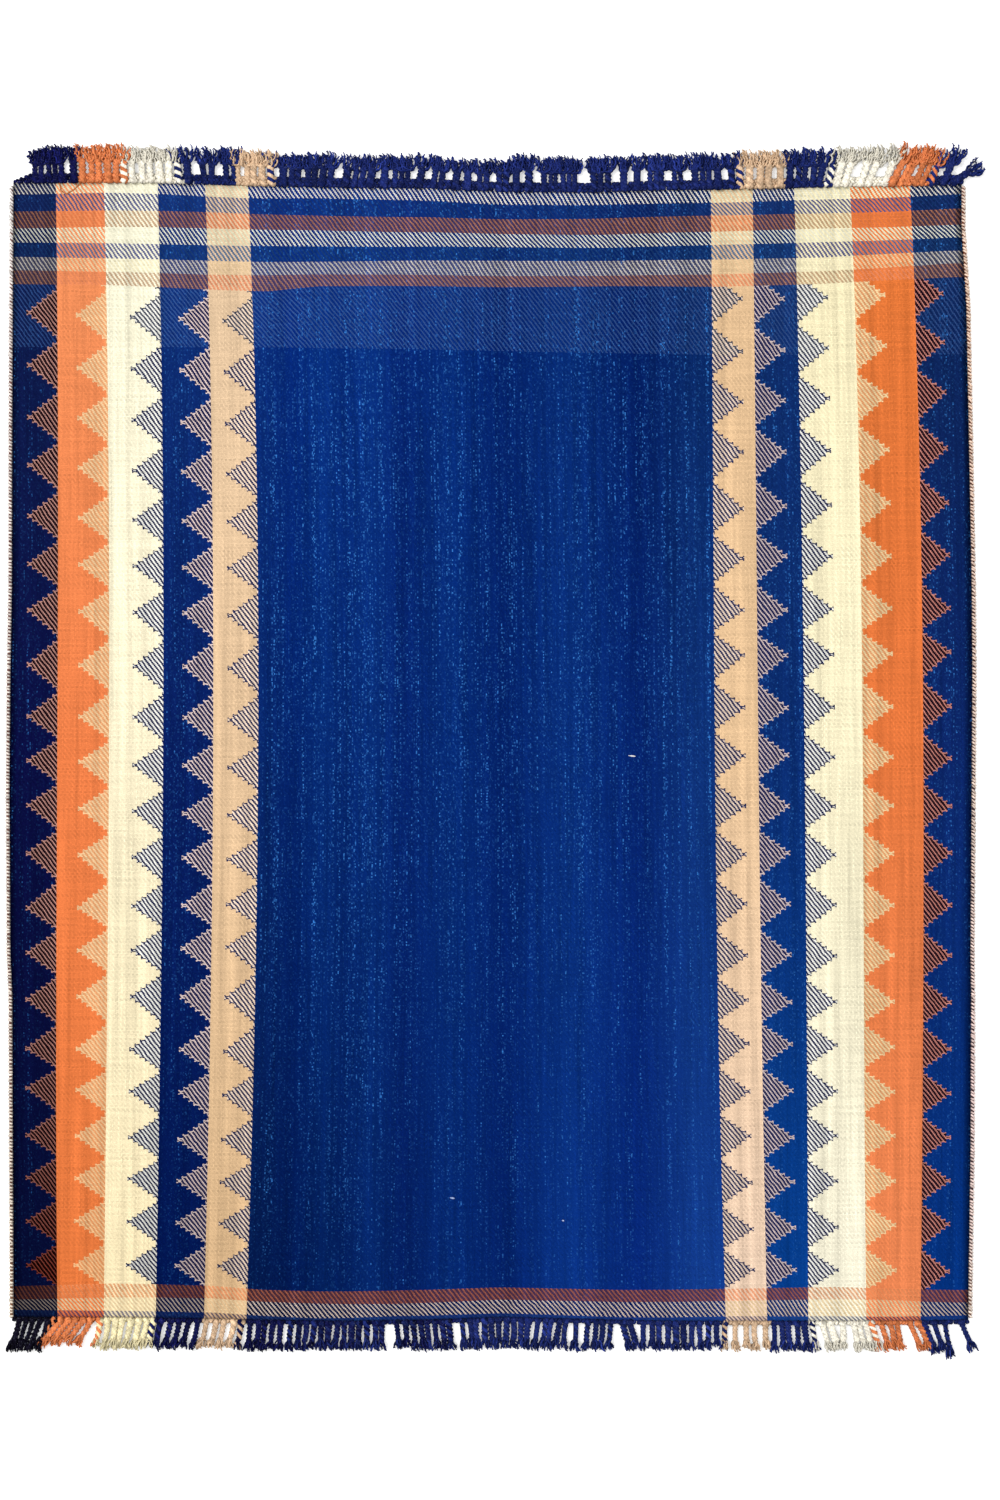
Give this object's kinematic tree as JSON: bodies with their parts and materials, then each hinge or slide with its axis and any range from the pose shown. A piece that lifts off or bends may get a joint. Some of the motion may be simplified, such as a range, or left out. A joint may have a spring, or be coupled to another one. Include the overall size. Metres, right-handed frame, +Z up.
{
  "type": "jajim rug",
  "caption": "Flat woven wool rug with striped, toothed side borders, banded ends, whipped side edges and corded fringes.",
  "frame": {"origin": "on the floor, under the centre of the rug's bounding box, fringes included", "axes": "+Y along the warp towards the end with the corded footing row, +X across the width, +Z up out of the face"},
  "size_m": [1.625, 2.006, 0.007],
  "materials": {
    "woven_wool": "matte hand-spun wool in a 2/2 twill, indigo field with orange, cream and tan stripes",
    "edge_yarn": "matte wool overcast stitches, cream and peach",
    "fringe_yarn": "matte twisted wool cords in the colours of the warp stripes"
  },
  "bodies": {
    "root": {"cloth": "woven_wool", "edge_wrap_left": "edge_yarn", "edge_wrap_right": "edge_yarn", "fringe_top": "fringe_yarn", "fringe_bottom": "fringe_yarn"}
  },
  "joints": []
}
